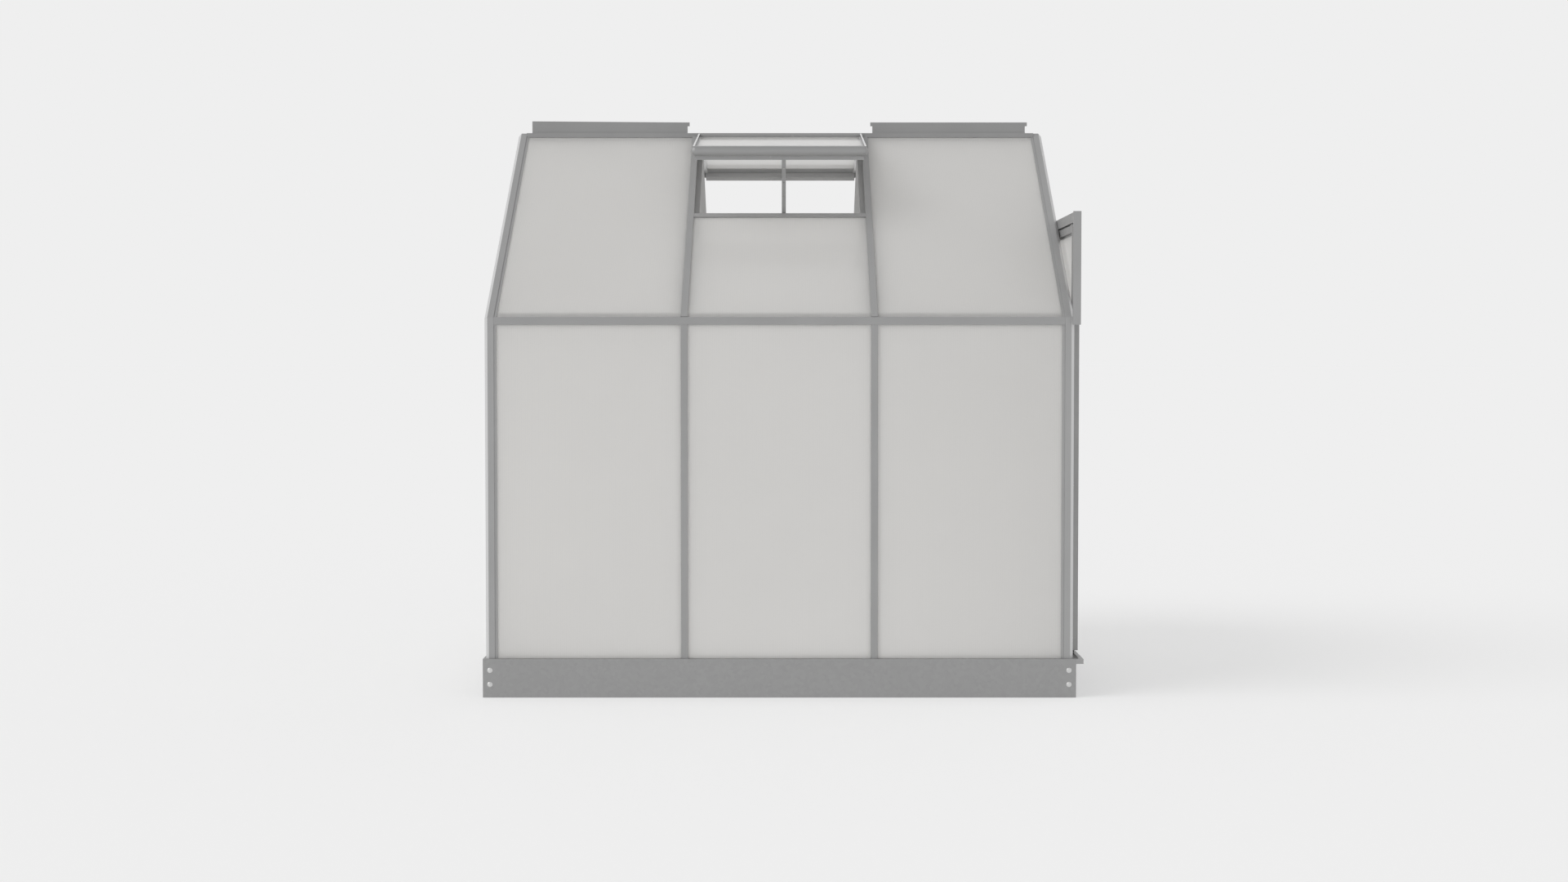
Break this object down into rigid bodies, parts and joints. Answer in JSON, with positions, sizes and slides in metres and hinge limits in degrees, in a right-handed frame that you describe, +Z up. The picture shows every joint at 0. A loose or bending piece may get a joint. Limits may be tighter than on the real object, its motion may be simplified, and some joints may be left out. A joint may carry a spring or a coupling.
{
  "type": "walk-in greenhouse",
  "caption": "Small walk-in aluminium greenhouse glazed with translucent sheet, with a pitched roof, propped roof vents, a sliding gable door and a steel base.",
  "frame": {"origin": "on the ground under the middle of the square base, at the height of the base's underside", "axes": "+X runs along the ridge towards the gable with the sliding door, +Y runs across the ridge to the rear wall, +Z is up"},
  "size_m": [1.9647, 1.9372, 1.97],
  "materials": {
    "galvanised_steel": "satin grey galvanised sheet",
    "zinc_plated": "bright zinc",
    "mill_aluminium": "satin mill finish",
    "ridge_aluminium": "satin mill finish, slightly darker",
    "vent_aluminium": "satin mill finish",
    "track_aluminium": "satin mill finish",
    "door_aluminium": "satin mill finish",
    "twin_wall_sheet": "translucent twin-wall polycarbonate",
    "black_nylon": "matte black"
  },
  "bodies": {
    "house": {"base_front": "galvanised_steel", "base_rear": "galvanised_steel", "base_left": "galvanised_steel", "base_right": "galvanised_steel", "base_brackets": "zinc_plated", "base_bolts": "zinc_plated", "post_front_left": "mill_aluminium", "post_front_right": "mill_aluminium", "post_rear_left": "mill_aluminium", "post_rear_right": "mill_aluminium", "eaves_rail_front": "mill_aluminium", "eaves_rail_rear": "mill_aluminium", "wall_bars_front": "mill_aluminium", "wall_bars_rear": "mill_aluminium", "gable_bars_left": "mill_aluminium", "door_jambs": "mill_aluminium", "door_header": "mill_aluminium", "gable_rails_left": "mill_aluminium", "gable_rails_right": "mill_aluminium", "rafter_front_left": "mill_aluminium", "rafter_front_right": "mill_aluminium", "rafter_rear_left": "mill_aluminium", "rafter_rear_right": "mill_aluminium", "roof_bars_front": "mill_aluminium", "roof_bars_rear": "mill_aluminium", "ridge": "ridge_aluminium", "ridge_cap_left": "ridge_aluminium", "ridge_cap_right": "ridge_aluminium", "vent_sills": "mill_aluminium", "stay_pegs": "zinc_plated", "vent_hinge_rods": "zinc_plated", "gussets": "zinc_plated", "gusset_bolts": "zinc_plated", "wall_glazing_front": "twin_wall_sheet", "wall_glazing_rear": "twin_wall_sheet", "gable_glazing_left": "twin_wall_sheet", "gable_glazing_right": "twin_wall_sheet", "roof_glazing_front": "twin_wall_sheet", "roof_glazing_rear": "twin_wall_sheet", "track_top": "track_aluminium", "track_bottom": "track_aluminium", "track_support": "track_aluminium", "track_stops": "black_nylon"},
    "door": {"door_stiles": "door_aluminium", "door_rails": "door_aluminium", "door_glazing": "twin_wall_sheet", "door_screws": "zinc_plated", "door_hangers": "zinc_plated", "door_glides": "black_nylon", "door_handle": "black_nylon"},
    "roller_near": {"roller_near": "black_nylon"},
    "roller_far": {"roller_far": "black_nylon"},
    "vent_front": {"vent_frame_front": "vent_aluminium", "vent_bottom_rail_front": "vent_aluminium", "vent_glazing_front": "twin_wall_sheet"},
    "vent_rear": {"vent_frame_rear": "vent_aluminium", "vent_bottom_rail_rear": "vent_aluminium", "vent_glazing_rear": "twin_wall_sheet"},
    "stay_front": {"vent_stay_front": "mill_aluminium"},
    "stay_rear": {"vent_stay_rear": "mill_aluminium"}
  },
  "joints": [
    {"name": "door_slide", "type": "slide", "parent": "house", "child": "door", "axis": [0, 1, 0], "range_m": [-0.062, 0.545]},
    {"name": "roller_near_spin", "type": "hinge", "parent": "door", "child": "roller_near", "pos_m": [0.9654, -0.795, 1.5572], "axis": [1, 0, 0], "continuous": true},
    {"name": "roller_far_spin", "type": "hinge", "parent": "door", "child": "roller_far", "pos_m": [0.9654, -0.295, 1.5572], "axis": [1, 0, 0], "continuous": true},
    {"name": "vent_front_hinge", "type": "hinge", "parent": "house", "child": "vent_front", "pos_m": [0, -0.022, 1.917], "axis": [-1, 0, 0], "range_deg": [-22.7, 0]},
    {"name": "stay_front_pivot", "type": "hinge", "parent": "vent_front", "child": "stay_front", "pos_m": [0.0142, -0.5153, 1.79099], "axis": [-1, 0, 0], "range_deg": [-76.1, 0]},
    {"name": "vent_rear_hinge", "type": "hinge", "parent": "house", "child": "vent_rear", "pos_m": [0, 0.022, 1.917], "axis": [1, 0, 0], "range_deg": [-24.3, 0]},
    {"name": "stay_rear_pivot", "type": "hinge", "parent": "vent_rear", "child": "stay_rear", "pos_m": [0.0142, 0.51862, 1.80482], "axis": [1, 0, 0], "range_deg": [-75.1, 0]}
  ],
  "couplings": [
    {"joint": "roller_near_spin", "follows": "door_slide", "rad_per_m": -111.11},
    {"joint": "roller_far_spin", "follows": "door_slide", "rad_per_m": -111.11},
    {"joint": "stay_front_pivot", "follows": "vent_front_hinge", "ratio": 3.35},
    {"joint": "stay_rear_pivot", "follows": "vent_rear_hinge", "ratio": 3.09}
  ]
}
